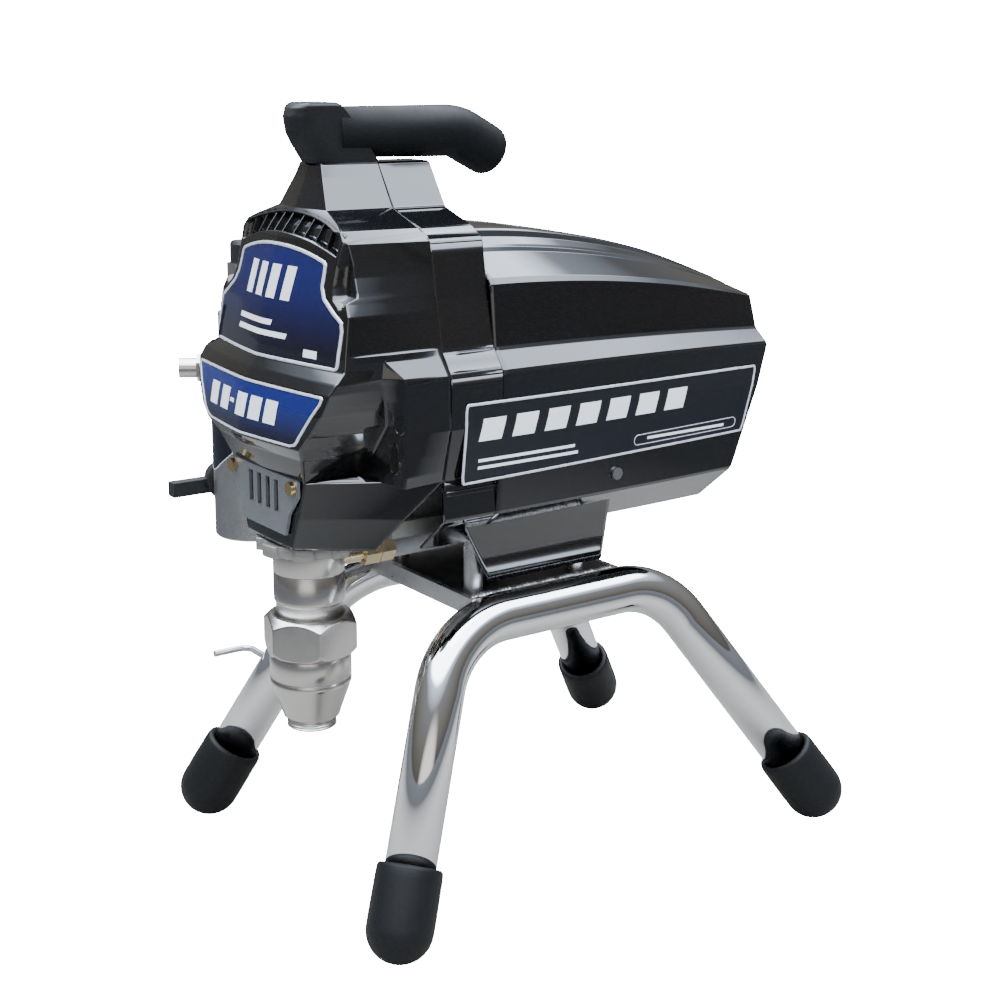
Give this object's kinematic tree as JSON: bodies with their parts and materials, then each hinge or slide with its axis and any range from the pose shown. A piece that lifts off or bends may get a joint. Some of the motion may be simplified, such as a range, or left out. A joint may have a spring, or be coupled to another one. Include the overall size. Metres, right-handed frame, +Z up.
{
  "type": "airless paint sprayer",
  "caption": "Upright piston-pump airless paint sprayer on bent-tube legs, with a motor and gear drive under moulded covers, a filter manifold and a carrying handle.",
  "frame": {"origin": "centre of the whole sprayer's footprint, on the floor under its rubber feet", "axes": "+Z up; -Y towards the pump and the front cover; +X towards the side away from the filter manifold"},
  "size_m": [0.2944, 0.4, 0.5015],
  "materials": {
    "chrome_tube": "polished chrome plate",
    "dark_paint": "black powder coat",
    "bright_steel": "bright zinc plate",
    "zinc_screw": "zinc plate",
    "black_rubber": "matte black rubber",
    "nickel": "turned nickel plate",
    "carbide": "ground carbide",
    "cast_grey": "as-cast alloy",
    "leather_packing": "packing rings of leather and plastic",
    "brass_part": "machined brass",
    "brass_screw": "brass socket screw",
    "bronze": "sintered bronze",
    "bearing_steel": "ground bearing steel",
    "motor_paint": "dark grey paint",
    "magnet": "ferrite",
    "gloss_black": "gloss black moulding",
    "grey_plastic": "satin grey moulding",
    "black_plastic": "matte black moulding",
    "board_green": "circuit board",
    "satin_alloy": "satin machined alloy",
    "mesh_steel": "woven steel mesh on a core",
    "grey_rubber": "grey hose cover",
    "gear_steel": "machined steel",
    "copper_core": "wound laminated core",
    "hard_chrome": "hard chromed",
    "white_seal": "white plastic seal rings"
  },
  "bodies": {
    "frame": {"frame_tube_right": "chrome_tube", "frame_tube_left": "chrome_tube", "frame_plate": "dark_paint", "cross_bars": "bright_steel", "rubber_feet": "black_rubber", "pail_hook": "bright_steel", "support_posts": "bright_steel", "deck_screws": "zinc_screw", "intake_housing": "nickel", "intake_seat": "carbide", "intake_ball_stop": "bright_steel", "pump_lower_nut": "nickel", "pump_cylinder": "nickel", "pump_jam_nut": "cast_grey", "throat_packings": "leather_packing", "packing_nut": "brass_part", "crank_bearing": "bearing_steel", "intermediate_bushes": "bronze", "drive_housing": "cast_grey", "gear_case": "cast_grey", "housing_screws": "zinc_screw", "motor_rear_bell": "cast_grey", "motor_can": "motor_paint", "motor_magnets": "magnet", "motor_bearings": "bearing_steel", "motor_cradle": "cast_grey", "front_cover": "gloss_black", "pump_grille": "grey_plastic", "grille_screws": "brass_screw", "rear_shroud": "gloss_black", "cover_screws": "zinc_screw", "pressure_control_unit": "black_plastic", "switch_housing": "black_plastic", "cord_gland": "black_plastic", "control_board": "board_green", "handle_arm": "gloss_black", "handle_grip": "black_rubber", "manifold_body": "satin_alloy", "filter_element": "mesh_steel", "manifold_cap": "nickel", "pressure_sensor": "black_plastic", "fluid_outlet": "nickel", "prime_valve_body": "nickel", "drain_fitting": "nickel", "hose_fittings": "brass_part", "outlet_hose": "grey_rubber"},
    "crank": {"crankshaft_gear": "gear_steel"},
    "connecting_rod": {"connecting_rod": "gear_steel"},
    "intermediate": {"intermediate_gear": "gear_steel"},
    "rotor": {"motor_pinion_shaft": "gear_steel", "armature": "copper_core", "motor_fan": "black_plastic"},
    "plunger": {"pump_rod": "hard_chrome", "wrist_pin": "bearing_steel", "piston_seals": "white_seal"},
    "piston_ball": {"piston_ball": "bearing_steel"},
    "intake_ball": {"intake_ball": "bearing_steel"},
    "prime_lever": {"prime_valve_lever": "black_plastic"},
    "knob": {"pressure_knob": "black_plastic"},
    "rocker": {"power_switch": "black_plastic"}
  },
  "joints": [
    {"name": "crank_spin", "type": "hinge", "parent": "frame", "child": "crank", "pos_m": [0, -0.14, 0.342], "axis": [0, 1, 0], "continuous": true},
    {"name": "intermediate_spin", "type": "hinge", "parent": "frame", "child": "intermediate", "pos_m": [0, -0.12, 0.2955], "axis": [0, 1, 0], "continuous": true},
    {"name": "motor_spin", "type": "hinge", "parent": "frame", "child": "rotor", "pos_m": [0, -0.01, 0.33925], "axis": [0, 1, 0], "continuous": true},
    {"name": "connecting_rod_pivot", "type": "hinge", "parent": "crank", "child": "connecting_rod", "pos_m": [0, -0.1625, 0.352], "axis": [0, 1, 0], "continuous": true},
    {"name": "pump_stroke", "type": "slide", "parent": "frame", "child": "plunger", "axis": [0, 0, 1], "range_m": [-0.02, 0]},
    {"name": "piston_ball_lift", "type": "slide", "parent": "plunger", "child": "piston_ball", "axis": [0, 0, 1], "range_m": [0, 0.003]},
    {"name": "intake_ball_lift", "type": "slide", "parent": "frame", "child": "intake_ball", "axis": [0, 0, 1], "range_m": [0, 0.003]},
    {"name": "prime_valve_turn", "type": "hinge", "parent": "frame", "child": "prime_lever", "pos_m": [-0.125, -0.157, 0.245], "axis": [1, 0, 0], "range_deg": [0, 90]},
    {"name": "pressure_knob_turn", "type": "hinge", "parent": "frame", "child": "knob", "pos_m": [-0.034, 0.14482, 0.30472], "axis": [0, 0.9666, -0.2562], "range_deg": [-135, 135]},
    {"name": "power_switch_rock", "type": "hinge", "parent": "frame", "child": "rocker", "pos_m": [0.034, 0.13999, 0.306], "axis": [1, 0, 0], "range_deg": [-12, 0]}
  ],
  "couplings": [
    {"joint": "intermediate_spin", "follows": "crank_spin", "ratio": -3.4286},
    {"joint": "motor_spin", "follows": "crank_spin", "ratio": 13.714},
    {"joint": "connecting_rod_pivot", "follows": "crank_spin", "ratio": -1}
  ]
}
